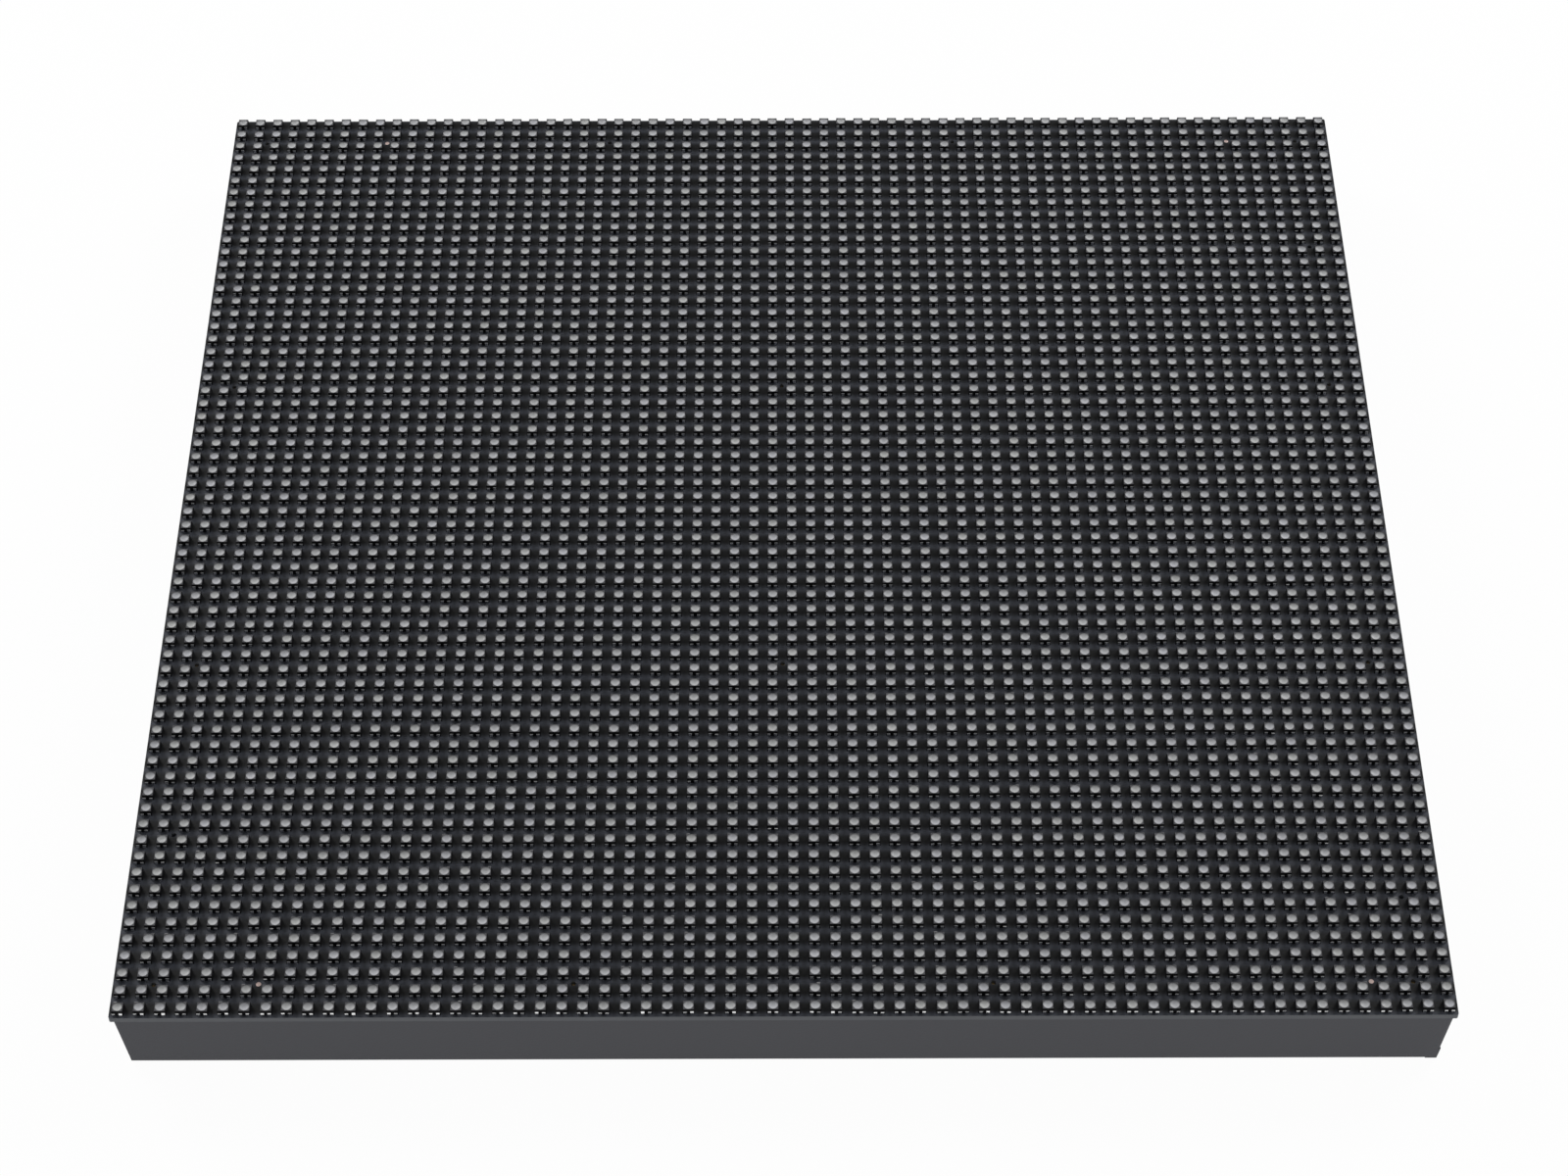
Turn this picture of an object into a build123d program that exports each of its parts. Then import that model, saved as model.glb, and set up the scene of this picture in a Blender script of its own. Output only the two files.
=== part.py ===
from build123d import *
import os
from math import atan, degrees, radians, tan

os.makedirs("parts", exist_ok=True)

# Square display module: a moulded rear frame, a circuit board on its front rim, and rows of
# surface-mount LEDs on the board. The module lies on the frame's rear rim, with its lit face up.
# X runs along the LED rows and Y from the lower edge of the picture to its upper edge.
# The origin is the centre of the rear rim's plane.

# Light field
pitch = 4.0  # from one LED to the next, both ways
led_count = 64  # LEDs in a row, and rows
led_base = 2.3  # side of a LED body where it stands on the board
led_top = 2.1  # side of its flat top
led_height = 1.3

# Circuit board
module_gap = 0.5  # left between two modules side by side
board_thickness = 1.2
board_corner = 0.4
locating_hole = 1.0  # diameter of each small hole seen between the LEDs

# Rear frame
frame_inset = 0.5  # the frame's front rim lies this far inside the board's edge
frame_depth = 16.0
frame_draft = 5.4  # degrees; the side walls lean in towards the rear
frame_corner = 0.6
rim_round = 0.4  # edge of the rear rim
wall = 2.2
skin = 2.0  # the lattice plate at the rear
bar_width = 16.0
side_band = 19.5  # from the walls to the outer edges of the windows
window_corner = 3.0
rib = 1.6
rib_room = 3.0  # left above the ribs for the parts under the board
stiffener = 1.2
stiffener_room = 5.0
stiffener_count = 6  # in each band
land_height = 3.6  # a narrow land at the foot of one corner
land_length = 9.0
land_proud = 0.2

# Fixing grid, counted in LEDs from the centre
edge_count = 30
inner_count = 10
pin_counts = ((edge_count, -25), (-edge_count, -21), (edge_count, 21))

# Fixings: a soldered spacer and a screw at each place
spacer_diameter = 5.5
spacer_end = 3.0  # left solid above the thread
tip_length = 0.5
boss_diameter = 8.6
boss_height = 6.0  # the spacers stand on the bosses
head_diameter = 4.5
head_height = 1.7
head_gap = 0.4  # all round the screw head in its counterbore
counterbore_depth = 3.0
screw_diameter = 2.5
screw_clearance = 1.0  # from the screw's tip to the end of the thread
thread_gap = 0.05
shank_gap = 0.2
drive_width = 0.7
drive_length = 2.6
drive_depth = 0.9
pin_post = 4.0

# Brass inserts for the screws that hold the module to its cabinet
insert_diameter = 4.6
insert_length = 6.0
insert_bore = 2.5
insert_relief = 3.4
insert_boss = 8.0
insert_inset = 13.75  # from the board's edge to the inserts beside it
insert_corner_inset = 31.75  # from the board's corner along the edge

# Chips on the underside of the board: length, width, height
driver_size = (3.9, 8.7, 1.6)
row_driver_size = (9.9, 3.9, 1.6)
buffer_size = (6.5, 4.4, 1.1)
chip_draft = 7
driver_count = 12
driver_pitch = 16.0
row_driver_x = 50.0
row_driver_pitch = 16.0
row_driver_inset = 11.0  # from the edge of the middle window
buffer_offset = 24.0  # from the input header
buffer_pitch = 11.0
buffer_count = 3

# Small passive parts: length, width, height
passive_size = (1.6, 0.8, 0.7)
array_size = (3.2, 1.6, 0.6)
passive_offset = 3.4  # from the end of a driver chip
array_offset = 13.0  # from the input header
array_count = 4
array_pitch = 5.0

# Data headers
header_inset = 16.0  # from the ends of the middle window
header_length = 28.0
header_width = 9.0
header_height = 9.2
header_wall = 1.2
header_floor = 2.4
header_standoff = 0.6
header_foot = 2.0
key_width = 4.5
key_depth = 6.0
pin_pitch = 2.54
pin_columns = 8
pin_side = 0.64
pin_short = 0.8  # the pins end this far inside the mouth
foot_length = 1.6
foot_thickness = 0.4
pin_gap = 0.02

# Power header
power_pitch = 3.96
power_pins = 4
power_margin = 1.95  # from the last pin to the end of the body
power_width = 8.4
power_base = 3.4
power_height = 10.4
power_lock_wall = 1.4
power_lock_slot = 5.0
power_pin_side = 1.14
power_pin_length = 9.2
power_foot_length = 1.8
power_foot_thickness = 0.5
power_standoff = 0.7
power_end_foot = 1.1

# Electrolytic capacitors
can_diameter = 8.0
can_height = 9.6
can_edge = 0.7
bead_depth = 0.5
bead_height = 1.4
bead_place = 2.2
base_side = 8.3
base_height = 1.6
base_cut = 2.0
can_x = 23.0
can_y = 9.0

# Worked out from the sizes above
field = pitch * (led_count - 1)
board_side = pitch * led_count - module_gap
rim_side = board_side - 2 * frame_inset
rear_side = rim_side - 2 * frame_depth * tan(radians(frame_draft))
inner_side = rear_side - 2 * wall
board_top = frame_depth + board_thickness
led_draft = degrees(atan((led_base - led_top) / 2 / led_height))
window_reach = inner_side / 2 - side_band
rib_top = frame_depth - rib_room
stiffener_top = frame_depth - stiffener_room
thread_top = frame_depth - spacer_end
screw_top = thread_top - screw_clearance
edge_fixing = pitch * edge_count
inner_fixing = pitch * inner_count
fixings = [(x, y) for x in (-edge_fixing, edge_fixing) for y in (-edge_fixing, edge_fixing)]
fixings += [(x, y) for x in (-inner_fixing, inner_fixing) for y in (-edge_fixing, edge_fixing)]
fixings += [(x, y) for x in (-edge_fixing, 0, edge_fixing) for y in (-inner_fixing, inner_fixing)]
locating_pins = [(pitch * x, pitch * y) for x, y in pin_counts]
insert_reach = board_side / 2 - insert_inset
insert_x = board_side / 2 - insert_corner_inset
inserts = [(x, y) for x in (-insert_x, insert_x) for y in (-insert_reach, insert_reach)]
inserts += [(-insert_reach, 0), (insert_reach, 0)]

# Windows of the lattice: one wide window across the middle, two above it and two below
side_window = (window_reach - bar_width / 2, window_reach - inner_fixing - bar_width / 2)
middle_window = (2 * window_reach, 2 * inner_fixing - bar_width)
side_window_x = (window_reach + bar_width / 2) / 2
side_window_y = (window_reach + inner_fixing + bar_width / 2) / 2


def window_outlines(grow):
    """Outlines of the five windows, each grown all round."""
    corner = window_corner + grow
    with Locations((0, 0)):
        RectangleRounded(middle_window[0] + 2 * grow, middle_window[1] + 2 * grow, corner)
    with GridLocations(2 * side_window_x, 2 * side_window_y, 2, 2):
        RectangleRounded(side_window[0] + 2 * grow, side_window[1] + 2 * grow, corner)


# Rear frame: one moulding with drafted walls, a lattice plate, ribs, bosses and locating pins
with BuildPart() as rear_frame:
    with BuildSketch(Plane.XY.offset(frame_depth)):
        RectangleRounded(rim_side, rim_side, frame_corner)
    extrude(amount=-frame_depth, taper=frame_draft)
    fillet(rear_frame.faces().sort_by(Axis.Z)[0].edges(), rim_round)
    with BuildSketch(Plane.XY.offset(skin)):
        Rectangle(inner_side, inner_side)
    extrude(amount=frame_depth - skin, mode=Mode.SUBTRACT)
    # Rib round each window
    with BuildSketch(Plane.XY.offset(skin)):
        window_outlines(rib)
    extrude(amount=rib_top - skin)
    # Stiffeners from the walls to the ribs, midway between the fixings
    band = (inner_side / 2 - window_reach) + wall / 2
    band_middle = window_reach + band / 2
    with BuildSketch(Plane.XY.offset(skin)):
        with GridLocations(inner_fixing, 2 * band_middle, stiffener_count, 2):
            Rectangle(stiffener, band)
        with GridLocations(2 * band_middle, inner_fixing, 2, stiffener_count):
            Rectangle(band, stiffener)
    extrude(amount=stiffener_top - skin)
    # Bosses for the screws, the inserts and the locating pins
    with BuildSketch(Plane.XY):
        with Locations(*fixings):
            Circle(boss_diameter / 2)
    extrude(amount=boss_height)
    with BuildSketch(Plane.XY):
        with Locations(*inserts):
            Circle(insert_boss / 2)
    extrude(amount=rib_top)
    with BuildSketch(Plane.XY):
        with Locations(*locating_pins):
            Circle(pin_post / 2)
    extrude(amount=frame_depth)
    with BuildSketch(Plane.XY.offset(frame_depth)):
        with Locations(*locating_pins):
            Circle(locating_hole / 2 - thread_gap)
    extrude(amount=tip_length)
    # Windows
    with BuildSketch(Plane.XY):
        window_outlines(0)
    extrude(amount=rib_top, mode=Mode.SUBTRACT)
    # Room for the spacers beside the walls
    with BuildSketch(Plane.XY.offset(boss_height)):
        with Locations(*fixings):
            Circle(spacer_diameter / 2 + head_gap)
    extrude(amount=frame_depth - boss_height, mode=Mode.SUBTRACT)
    # Screw holes with counterbores, and stepped holes for the inserts
    with Locations(Plane.XY):
        with Locations(*fixings):
            Cylinder(screw_diameter / 2 + shank_gap, boss_height, mode=Mode.SUBTRACT,
                     align=(Align.CENTER, Align.CENTER, Align.MIN))
            Cylinder(head_diameter / 2 + head_gap, counterbore_depth, mode=Mode.SUBTRACT,
                     align=(Align.CENTER, Align.CENTER, Align.MIN))
        with Locations(*inserts):
            Cylinder(insert_diameter / 2, insert_length, mode=Mode.SUBTRACT,
                     align=(Align.CENTER, Align.CENTER, Align.MIN))
            Cylinder(insert_relief / 2, rib_top, mode=Mode.SUBTRACT,
                     align=(Align.CENTER, Align.CENTER, Align.MIN))
    # Land at the foot of the right front corner, with the draft of the walls
    with BuildSketch(Plane.XY):
        with Locations((rear_side / 2 + land_proud, -rear_side / 2)):
            Rectangle(wall, land_length, align=(Align.MAX, Align.MIN))
    extrude(amount=land_height, taper=-frame_draft)

# Circuit board, drilled at every fixing and locating pin
with BuildPart() as circuit_board:
    with BuildSketch(Plane.XY.offset(frame_depth)):
        RectangleRounded(board_side, board_side, board_corner)
        with Locations(*fixings, *locating_pins):
            Circle(locating_hole / 2, mode=Mode.SUBTRACT)
    extrude(amount=board_thickness)

# LED bodies, joined along each row
with BuildPart() as led_rows:
    with BuildSketch(Plane.XY.offset(board_top)):
        with GridLocations(0, pitch, 1, led_count):
            Rectangle(field + led_base, led_base)
    extrude(amount=led_height, taper=led_draft)

# Spacers soldered under the board, each with a locating tip and a blind thread
with BuildPart() as solder_spacers:
    with BuildSketch(Plane.XY.offset(boss_height)):
        with Locations(*fixings):
            Circle(spacer_diameter / 2)
    extrude(amount=frame_depth - boss_height)
    with BuildSketch(Plane.XY.offset(frame_depth)):
        with Locations(*fixings):
            Circle(locating_hole / 2 - thread_gap)
    extrude(amount=tip_length)
    with BuildSketch(Plane.XY.offset(boss_height)):
        with Locations(*fixings):
            Circle(screw_diameter / 2 + thread_gap)
    extrude(amount=thread_top - boss_height, mode=Mode.SUBTRACT)

# Pan-head screws from the rear, seated in the counterbores
with BuildPart() as frame_screws:
    with BuildSketch(Plane.XY.offset(counterbore_depth)):
        with Locations(*fixings):
            Circle(head_diameter / 2)
    extrude(amount=-head_height)
    with BuildSketch(Plane.XY.offset(counterbore_depth)):
        with Locations(*fixings):
            Circle(screw_diameter / 2)
    extrude(amount=screw_top - counterbore_depth)
    with BuildSketch(Plane.XY.offset(counterbore_depth - head_height)):
        with Locations(*fixings):
            Rectangle(drive_width, drive_length)
            Rectangle(drive_length, drive_width)
    extrude(amount=drive_depth, mode=Mode.SUBTRACT)

# Threaded brass inserts, flush with the rear rim
with BuildPart() as mount_inserts:
    with BuildSketch(Plane.XY):
        with Locations(*inserts):
            Circle(insert_diameter / 2)
            Circle(insert_bore / 2, mode=Mode.SUBTRACT)
    extrude(amount=insert_length)


def moulded_chips(places, size):
    """Chip bodies under the board, drafted both ways from the level of their leads."""
    length, width, height = size
    with BuildPart() as chips:
        with BuildSketch(Plane.XY.offset(frame_depth - height / 2)):
            with Locations(*places):
                Rectangle(length, width)
        extrude(amount=height / 2, taper=chip_draft)
        with BuildSketch(Plane.XY.offset(frame_depth - height / 2)):
            with Locations(*places):
                Rectangle(length, width)
        extrude(amount=-height / 2, taper=chip_draft)
    return chips.part


def board_blocks(places, size):
    """Small square-edged parts under the board."""
    length, width, height = size
    with BuildPart() as blocks:
        with BuildSketch(Plane.XY.offset(frame_depth)):
            with Locations(*places):
                Rectangle(length, width)
        extrude(amount=-height)
    return blocks.part


driver_xs = [driver_pitch * (n - (driver_count - 1) / 2) for n in range(driver_count)]
driver_places = [(x, y) for x in driver_xs for y in (-side_window_y, side_window_y)]
row_driver_xs = [side * row_driver_x + step * row_driver_pitch / 2 for side in (-1, 1) for step in (-1, 1)]
row_driver_y = middle_window[1] / 2 - row_driver_inset
row_driver_places = [(x, y) for x in row_driver_xs for y in (-row_driver_y, row_driver_y)]
header_x = window_reach - header_inset
buffer_x = buffer_offset - header_x
array_x = array_offset - header_x
buffer_places = [(buffer_x, buffer_pitch * (n - (buffer_count - 1) / 2)) for n in range(buffer_count)]
beside_driver = driver_size[1] / 2 + passive_offset
capacitor_places = [(x, y - beside_driver) for x, y in driver_places]
resistor_places = [(x, y + beside_driver) for x, y in driver_places]
array_places = [(array_x, array_pitch * (n - (array_count - 1) / 2)) for n in range(array_count)]

driver_chips = moulded_chips(driver_places, driver_size)
row_driver_chips = moulded_chips(row_driver_places, row_driver_size)
buffer_chips = moulded_chips(buffer_places, buffer_size)
chip_capacitors = board_blocks(capacitor_places, passive_size)
chip_resistors = board_blocks(resistor_places, passive_size)
resistor_arrays = board_blocks(array_places, (array_size[1], array_size[0], array_size[2]))


def data_header(centre_x):
    """Boxed two-row header under the board: its shroud and its bent pins."""
    base = frame_depth - header_standoff
    mouth = base - header_height
    side = 1 if centre_x > 0 else -1
    rows = (centre_x - pin_pitch / 2, centre_x + pin_pitch / 2)
    columns = [pin_pitch * (n - (pin_columns - 1) / 2) for n in range(pin_columns)]
    with BuildPart() as shroud:
        with BuildSketch(Plane.XY.offset(base)):
            with Locations((centre_x, 0)):
                Rectangle(header_width, header_length)
        extrude(amount=-header_height)
        with BuildSketch(Plane.XY.offset(mouth)):
            with Locations((centre_x, 0)):
                Rectangle(header_width - 2 * header_wall, header_length - 2 * header_wall)
        extrude(amount=header_height - header_floor, mode=Mode.SUBTRACT)
        # Key slot in the wall that faces the middle of the module
        with BuildSketch(Plane.XY.offset(mouth)):
            with Locations((centre_x - side * (header_width - header_wall) / 2, 0)):
                Rectangle(header_wall, key_width)
        extrude(amount=key_depth, mode=Mode.SUBTRACT)
        # Feet at the two ends, and holes for the pins
        with BuildSketch(Plane.XY.offset(base)):
            with Locations((centre_x, 0)):
                with GridLocations(0, header_length - header_foot, 1, 2):
                    Rectangle(header_width, header_foot)
        extrude(amount=header_standoff)
        with BuildSketch(Plane.XY.offset(base)):
            with Locations(*[(x, y) for x in rows for y in columns]):
                Rectangle(pin_side + 2 * pin_gap, pin_side + 2 * pin_gap)
        extrude(amount=-header_floor, mode=Mode.SUBTRACT)
    with BuildPart() as pins:
        with BuildSketch(Plane.XY.offset(frame_depth)):
            with Locations(*[(x, y) for x in rows for y in columns]):
                Rectangle(pin_side, pin_side)
        extrude(amount=-(frame_depth - mouth - pin_short))
        foot = header_width / 2 - pin_pitch / 2 + foot_length
        with BuildSketch(Plane.XY.offset(frame_depth)):
            with Locations(*[(rows[0], y) for y in columns]):
                Rectangle(foot, pin_side, align=(Align.MAX, Align.CENTER))
            with Locations(*[(rows[1], y) for y in columns]):
                Rectangle(foot, pin_side, align=(Align.MIN, Align.CENTER))
        extrude(amount=-foot_thickness)
    return shroud.part, pins.part


input_header_shroud, input_header_pins = data_header(-header_x)
output_header_shroud, output_header_pins = data_header(header_x)

# Power header: a base, a friction-lock wall with its slot, and four square pins
power_length = power_pitch * (power_pins - 1) + 2 * power_margin
power_foot_top = frame_depth - power_standoff
power_xs = [power_pitch * (n - (power_pins - 1) / 2) for n in range(power_pins)]
with BuildPart() as power_header_body:
    with BuildSketch(Plane.XY.offset(power_foot_top)):
        Rectangle(power_length, power_width)
    extrude(amount=-power_base)
    with BuildSketch(Plane.XY.offset(power_foot_top)):
        with Locations((0, power_width / 2)):
            Rectangle(power_length, power_lock_wall, align=(Align.CENTER, Align.MAX))
    extrude(amount=-power_height)
    with BuildSketch(Plane.XZ.offset(-power_width / 2)):
        with Locations((0, power_foot_top - (power_base + power_height) / 2)):
            Rectangle(power_lock_slot, (power_height - power_base) / 2)
    extrude(amount=power_lock_wall, mode=Mode.SUBTRACT)
    with BuildSketch(Plane.XY.offset(power_foot_top)):
        with GridLocations(power_length - power_end_foot, 0, 2, 1):
            Rectangle(power_end_foot, power_width)
    extrude(amount=power_standoff)
    with BuildSketch(Plane.XY.offset(power_foot_top)):
        with Locations(*[(x, 0) for x in power_xs]):
            Rectangle(power_pin_side + 2 * pin_gap, power_pin_side + 2 * pin_gap)
    extrude(amount=-power_base, mode=Mode.SUBTRACT)
    chamfer(power_header_body.edges().filter_by(Axis.X).group_by(Axis.Z)[0], power_lock_wall / 3)

with BuildPart() as power_header_pins:
    with BuildSketch(Plane.XY.offset(frame_depth)):
        with Locations(*[(x, 0) for x in power_xs]):
            Rectangle(power_pin_side, power_pin_side)
    extrude(amount=-power_pin_length)
    with BuildSketch(Plane.XY.offset(frame_depth)):
        with Locations(*[(x, 0) for x in power_xs]):
            Rectangle(power_pin_side, power_width / 2 + power_foot_length, align=(Align.CENTER, Align.MAX))
    extrude(amount=-power_foot_thickness)

# Electrolytic capacitors: a round can with a rolled bead, on a square base with two cut corners
can_places = [(x, y) for x in (-can_x, can_x) for y in (-can_y, can_y)]
can_radius = can_diameter / 2
with BuildPart() as capacitor_bases:
    with BuildSketch(Plane.XY.offset(frame_depth)):
        with Locations(*can_places):
            Rectangle(base_side, base_side)
    extrude(amount=-base_height)
    outer_corners = capacitor_bases.edges().filter_by(Axis.Z).filter_by(
        lambda corner: abs(corner.center().X) > can_x
    )
    chamfer(outer_corners, base_cut)

with BuildPart() as one_can:
    with BuildSketch(Plane.XZ):
        with BuildLine():
            Polyline(
                (0, 0),
                (can_radius, 0),
                (can_radius, bead_place - bead_height / 2),
                (can_radius - bead_depth, bead_place),
                (can_radius, bead_place + bead_height / 2),
                (can_radius, can_height - can_edge),
                (can_radius - can_edge, can_height),
                (0, can_height),
                close=True,
            )
        make_face()
    revolve(axis=Axis.Z)

with BuildPart() as capacitor_cans:
    with Locations(*[Location((x, y, frame_depth - base_height), (180, 0, 0)) for x, y in can_places]):
        add(one_can.part)

pieces = {
    "rear_frame": rear_frame.part,
    "circuit_board": circuit_board.part,
    "led_rows": led_rows.part,
    "solder_spacers": solder_spacers.part,
    "frame_screws": frame_screws.part,
    "mount_inserts": mount_inserts.part,
    "driver_chips": driver_chips,
    "row_driver_chips": row_driver_chips,
    "buffer_chips": buffer_chips,
    "chip_capacitors": chip_capacitors,
    "chip_resistors": chip_resistors,
    "resistor_arrays": resistor_arrays,
    "input_header_shroud": input_header_shroud,
    "input_header_pins": input_header_pins,
    "output_header_shroud": output_header_shroud,
    "output_header_pins": output_header_pins,
    "power_header_body": power_header_body.part,
    "power_header_pins": power_header_pins.part,
    "capacitor_bases": capacitor_bases.part,
    "capacitor_cans": capacitor_cans.part,
}
for name, piece in pieces.items():
    piece.label = name
    export_step(piece, f"parts/{name}.step")
    print(name, len(piece.solids()), "solids, size", piece.bounding_box().size)
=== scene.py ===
# %% [markdown]
# # A square LED display module
# This lesson dresses a display module of 64 by 64 surface-mount LEDs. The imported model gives
# the moulded frame, the circuit board and the parts on its underside at their real size.
# The LEDs there are plain strips, one to a row, so the first half of the lesson models one LED
# and sets it 4096 times. The second half gives every surface its finish.

# %% Load the frame
from math import pi, radians

import bpy
import numpy as np
from mathutils import Matrix, Vector


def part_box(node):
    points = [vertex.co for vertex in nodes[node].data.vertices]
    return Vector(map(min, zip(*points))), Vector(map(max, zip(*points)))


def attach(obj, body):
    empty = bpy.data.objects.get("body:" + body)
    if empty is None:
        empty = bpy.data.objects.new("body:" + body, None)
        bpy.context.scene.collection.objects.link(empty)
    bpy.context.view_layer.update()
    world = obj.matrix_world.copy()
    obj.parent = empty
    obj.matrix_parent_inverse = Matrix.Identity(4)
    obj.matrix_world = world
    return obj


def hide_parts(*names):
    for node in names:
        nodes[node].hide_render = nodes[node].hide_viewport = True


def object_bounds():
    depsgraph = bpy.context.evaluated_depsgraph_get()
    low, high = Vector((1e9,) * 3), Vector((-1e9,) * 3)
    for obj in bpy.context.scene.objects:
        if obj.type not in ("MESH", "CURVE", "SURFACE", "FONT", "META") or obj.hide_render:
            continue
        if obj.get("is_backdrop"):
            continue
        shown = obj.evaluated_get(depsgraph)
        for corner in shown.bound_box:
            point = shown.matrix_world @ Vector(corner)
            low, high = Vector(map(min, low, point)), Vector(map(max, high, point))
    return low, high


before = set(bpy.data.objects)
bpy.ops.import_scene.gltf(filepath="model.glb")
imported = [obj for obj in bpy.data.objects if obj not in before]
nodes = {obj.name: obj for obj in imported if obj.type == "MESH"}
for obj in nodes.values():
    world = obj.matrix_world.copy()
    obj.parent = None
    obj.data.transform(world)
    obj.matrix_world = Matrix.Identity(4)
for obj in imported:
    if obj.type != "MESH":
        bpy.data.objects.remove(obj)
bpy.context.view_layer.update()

# %% [markdown]
# ## Where things are
# Every place is read from the frame. The board's upper face carries the LEDs, and its lower face
# carries the chips. The LED pitch is the length of a strip less one LED, shared by 63 steps.

# %% Levels and pitch
MM = 0.001
LEDS = 64
LED_BASE = 2.3  # side of a housing at the board, in millimetres
strip_low, strip_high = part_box("led_rows")
board_low, board_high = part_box("circuit_board")
pitch = ((strip_high.x - strip_low.x) / MM - LED_BASE) / (LEDS - 1)
first_led = -(LEDS - 1) / 2 * pitch  # place of the first LED of a row or a column
face_level = board_high.z / MM
under_level = board_low.z / MM
led_top_level = strip_high.z / MM
led_height = led_top_level - face_level
print("pitch", round(pitch, 3), "LED height", round(led_height, 3), "board face at", round(face_level, 3))

# %% [markdown]
# ## The viewpoint
# The photograph looks down on the module with its near edge parallel to the picture. The camera
# is set by its place and its three small turns, and its lens by a focal length in pixels of
# a picture 1600 pixels wide.

# %% Camera
PICTURE_WIDTH = 1600
FOCAL_PIXELS = 3772.2
SENSOR_WIDTH = 36.0
CAMERA_PLACE = (-0.27, -531.74, 574.97)  # from the centre of the plane of the LED tops
CAMERA_TURNS = (0.72683, -0.00080, -0.00258)  # about X, Y and Z, in radians
NEAREST = 0.01  # what the camera can see starts and ends this far away, in metres
FARTHEST = 50

camera = bpy.data.objects.new("camera", bpy.data.cameras.new("camera"))
bpy.context.scene.collection.objects.link(camera)
turn = Matrix.Rotation(CAMERA_TURNS[0], 4, "X") @ Matrix.Rotation(CAMERA_TURNS[1], 4, "Y")
turn = turn @ Matrix.Rotation(CAMERA_TURNS[2], 4, "Z")
eye = Vector(CAMERA_PLACE) + Vector((0, 0, led_top_level))
camera.matrix_world = Matrix.Translation(eye * MM) @ turn
camera.data.sensor_width = SENSOR_WIDTH
camera.data.lens = FOCAL_PIXELS * SENSOR_WIDTH / PICTURE_WIDTH
camera.data.clip_start = NEAREST
camera.data.clip_end = FARTHEST
bpy.context.scene.camera = camera
bpy.context.scene.view_settings.view_transform = "Standard"
print("lens", round(camera.data.lens, 2), "mm")

# %% [markdown]
# ## The floor
# The module lies on a white sweep. A sweep could be a curved sheet behind the object, but a large
# flat floor and a world that is white at the horizon look the same from any side. The floor glows
# almost white to the camera and in reflections, and lights the object as plain grey-white paper.

# %% Floor
FLOOR_SIDE = 12  # in metres
PAPER_GREY = 0.82
PAPER_ROUGHNESS = 0.9
GLOW_SHARE = 0.97  # how much of what the camera sees of the floor is plain white

bpy.ops.object.select_all(action="DESELECT")
bpy.ops.mesh.primitive_plane_add(size=FLOOR_SIDE, location=(0, 0, 0))
floor = bpy.context.active_object
floor.name = "floor"
floor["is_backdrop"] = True
floor_paper = bpy.data.materials.new("floor_paper")
floor_paper.use_nodes = True
paper = floor_paper.node_tree
matt = paper.nodes["Principled BSDF"]
matt.inputs["Base Color"].default_value = (PAPER_GREY, PAPER_GREY, PAPER_GREY, 1)
matt.inputs["Roughness"].default_value = PAPER_ROUGHNESS
matt.inputs["Specular IOR Level"].default_value = 0.0
glow = paper.nodes.new("ShaderNodeEmission")
glow.inputs["Color"].default_value = (1, 1, 1, 1)
glow.inputs["Strength"].default_value = 1.0
path = paper.nodes.new("ShaderNodeLightPath")
seen = paper.nodes.new("ShaderNodeMath")
seen.operation = "MAXIMUM"
share = paper.nodes.new("ShaderNodeMath")
share.operation = "MULTIPLY"
share.inputs[1].default_value = GLOW_SHARE
blend = paper.nodes.new("ShaderNodeMixShader")
paper.links.new(path.outputs["Is Camera Ray"], seen.inputs[0])
paper.links.new(path.outputs["Is Glossy Ray"], seen.inputs[1])
paper.links.new(seen.outputs[0], share.inputs[0])
paper.links.new(share.outputs[0], blend.inputs["Fac"])
paper.links.new(matt.outputs[0], blend.inputs[1])
paper.links.new(glow.outputs[0], blend.inputs[2])
paper.links.new(blend.outputs[0], paper.nodes["Material Output"].inputs["Surface"])
floor.data.materials.append(floor_paper)
print("floor at", floor.location.z)

# %% [markdown]
# ## World and lamps
# Above the horizon the world falls to grey, so that the black board isn't washed out by a white
# ceiling. A soft lamp stands on either side. One lamp overhead would be simpler, but light from
# the sides runs along the open bands between the rows of LEDs, and leaves the gaps inside a row
# and the front of each LED in the dark.

# %% World and lamps
HORIZON_END = 0.20  # height of a direction, from 0 to 1, up to which the world is white
CEILING_START = 0.50  # height from which it is grey
CEILING = 0.24  # strength of the grey
LAMP_PLACES = ((-0.9, 0.7, 0.7), (0.9, 0.7, 0.7))
LAMP_SIDE = 0.6
LAMP_WATTS = 10.5

world = bpy.data.worlds.new("studio")
bpy.context.scene.world = world
world.use_nodes = True
sky = world.node_tree
way = sky.nodes.new("ShaderNodeTexCoord")
parts = sky.nodes.new("ShaderNodeSeparateXYZ")
fade = sky.nodes.new("ShaderNodeMapRange")
fade.inputs["From Min"].default_value = HORIZON_END
fade.inputs["From Max"].default_value = CEILING_START
fade.inputs["To Min"].default_value = 1.0
fade.inputs["To Max"].default_value = CEILING
sky.links.new(way.outputs["Generated"], parts.inputs[0])
sky.links.new(parts.outputs["Z"], fade.inputs["Value"])
sky.links.new(fade.outputs[0], sky.nodes["Background"].inputs["Strength"])
sky.nodes["Background"].inputs["Color"].default_value = (1, 1, 1, 1)

for place in LAMP_PLACES:
    lamp = bpy.data.objects.new("soft_lamp", bpy.data.lights.new("soft_lamp", "AREA"))
    bpy.context.scene.collection.objects.link(lamp)
    lamp.data.shape = "SQUARE"
    lamp.data.size = LAMP_SIDE
    lamp.data.energy = LAMP_WATTS
    lamp.location = place
    lamp.rotation_euler = Vector(place).to_track_quat("Z", "Y").to_euler()
print("lamps", len(LAMP_PLACES), "of", LAMP_WATTS, "W")

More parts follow.
